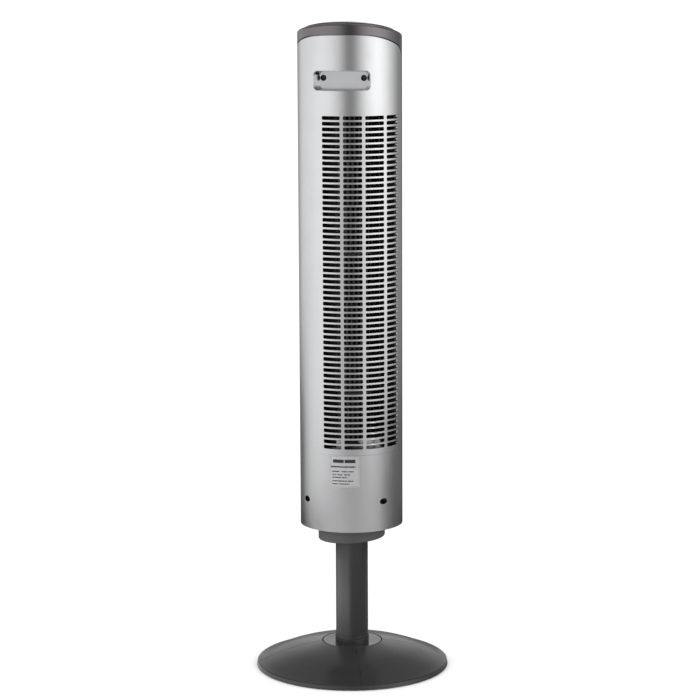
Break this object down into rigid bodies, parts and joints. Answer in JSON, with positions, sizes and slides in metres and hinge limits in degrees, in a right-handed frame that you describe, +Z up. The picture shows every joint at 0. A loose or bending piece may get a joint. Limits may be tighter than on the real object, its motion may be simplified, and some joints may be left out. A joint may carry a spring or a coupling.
{
  "type": "tower fan",
  "caption": "Slim round tower fan on a domed base: slotted air intake and carrying recess at the back, outlet grille and control panel at the front, swivelling head.",
  "frame": {"origin": "centre of the base at floor level", "axes": "+Z up along the column; -Y towards the air outlet and controls, +Y towards the intake grille and the carrying recess"},
  "size_m": [0.3192, 0.3192, 1.0667],
  "materials": {
    "silver_shell": "silver metallic paint on moulded plastic, satin gloss",
    "dark_gloss": "dark grey moulded plastic, polished",
    "dark_satin": "dark grey moulded plastic, satin",
    "black_moulding": "black moulded plastic, fine spark texture",
    "plated_steel": "zinc plated steel",
    "black_screw": "black oxide steel",
    "lamination": "stacked electrical steel",
    "copper_winding": "enamelled copper",
    "bronze": "oil-filled bronze",
    "rubber": "soft black rubber",
    "nylon": "natural nylon",
    "circuit_board": "green lacquered laminate",
    "component": "black component body",
    "lamp": "clear epoxy",
    "smoked_window": "smoked clear plastic",
    "button_face": "silver-grey moulded plastic",
    "label_film": "printed silver film"
  },
  "bodies": {
    "stand": {"rubber_feet": "rubber", "base_half_left": "dark_satin", "base_half_right": "dark_satin", "base_screws": "black_screw", "post_foot": "dark_satin", "post_nut": "black_moulding", "post_tube": "dark_satin", "cord_bushing": "rubber", "swivel_collar": "dark_satin", "thrust_ring": "nylon", "sector_gear": "nylon"},
    "head": {"air_guide_wall": "black_moulding", "bearing_bush": "rubber", "board_screws": "black_screw", "control_board": "circuit_board", "control_panel": "dark_gloss", "cutoff_wall": "black_moulding", "display_window": "smoked_window", "front_grille": "black_moulding", "front_shell": "dark_gloss", "handle_recess": "silver_shell", "head_floor": "black_moulding", "motor_bearings": "bronze", "motor_bottom_bell": "plated_steel", "motor_bracket": "plated_steel", "motor_post_screws": "plated_steel", "motor_posts": "plated_steel", "motor_screws": "plated_steel", "motor_top_bell": "plated_steel", "panel_trim_ring": "dark_gloss", "pivot_clip": "plated_steel", "pivot_tube": "plated_steel", "pivot_washer": "plated_steel", "rating_label": "label_film", "rear_grille": "silver_shell", "rear_shell": "silver_shell", "rear_shell_screws": "black_screw", "run_capacitor": "component", "speed_lamps": "lamp", "stator_core": "lamination", "stator_windings": "copper_winding", "swing_motor": "plated_steel", "tact_switches": "component", "top_cap": "dark_gloss", "upper_bearing": "bronze", "upper_frame": "black_moulding"},
    "impeller": {"wheel_segments": "black_moulding", "wheel_top_disc": "black_moulding", "wheel_top_stub": "plated_steel", "wheel_drive_hub": "black_moulding", "hub_set_screw": "black_screw", "motor_shaft": "plated_steel", "motor_rotor": "plated_steel"},
    "swing_drive": {"swing_pinion": "nylon", "swing_shaft": "plated_steel"},
    "power_button": {"button_power": "button_face"},
    "speed_button": {"button_speed": "button_face"},
    "timer_button": {"button_timer": "button_face"},
    "swing_button": {"button_swing": "button_face"},
    "mode_button": {"button_mode": "button_face"}
  },
  "joints": [
    {"name": "head_swing", "type": "hinge", "parent": "stand", "child": "head", "pos_m": [0, 0, 0.244], "axis": [0, 0, 1], "range_deg": [-24, 56]},
    {"name": "impeller_spin", "type": "hinge", "parent": "head", "child": "impeller", "pos_m": [0, 0, 0.656], "axis": [0, 0, 1], "continuous": true},
    {"name": "pinion_spin", "type": "hinge", "parent": "head", "child": "swing_drive", "pos_m": [0, -0.0405, 0.24], "axis": [0, 0, 1], "range_deg": [-106, 247]},
    {"name": "power_press", "type": "slide", "parent": "head", "child": "power_button", "axis": [0, 0.1961, -0.9806], "range_m": [0, 0.0012], "stiffness_N_per_m": 900, "springref_m": -0.0003},
    {"name": "speed_press", "type": "slide", "parent": "head", "child": "speed_button", "axis": [0, 0.1961, -0.9806], "range_m": [0, 0.0012], "stiffness_N_per_m": 900, "springref_m": -0.0003},
    {"name": "timer_press", "type": "slide", "parent": "head", "child": "timer_button", "axis": [0, 0.1961, -0.9806], "range_m": [0, 0.0012], "stiffness_N_per_m": 900, "springref_m": -0.0003},
    {"name": "swing_press", "type": "slide", "parent": "head", "child": "swing_button", "axis": [0, 0.1961, -0.9806], "range_m": [0, 0.0012], "stiffness_N_per_m": 900, "springref_m": -0.0003},
    {"name": "mode_press", "type": "slide", "parent": "head", "child": "mode_button", "axis": [0, 0.1961, -0.9806], "range_m": [0, 0.0012], "stiffness_N_per_m": 900, "springref_m": -0.0003}
  ],
  "couplings": [
    {"joint": "pinion_spin", "follows": "head_swing", "ratio": 4.4}
  ]
}
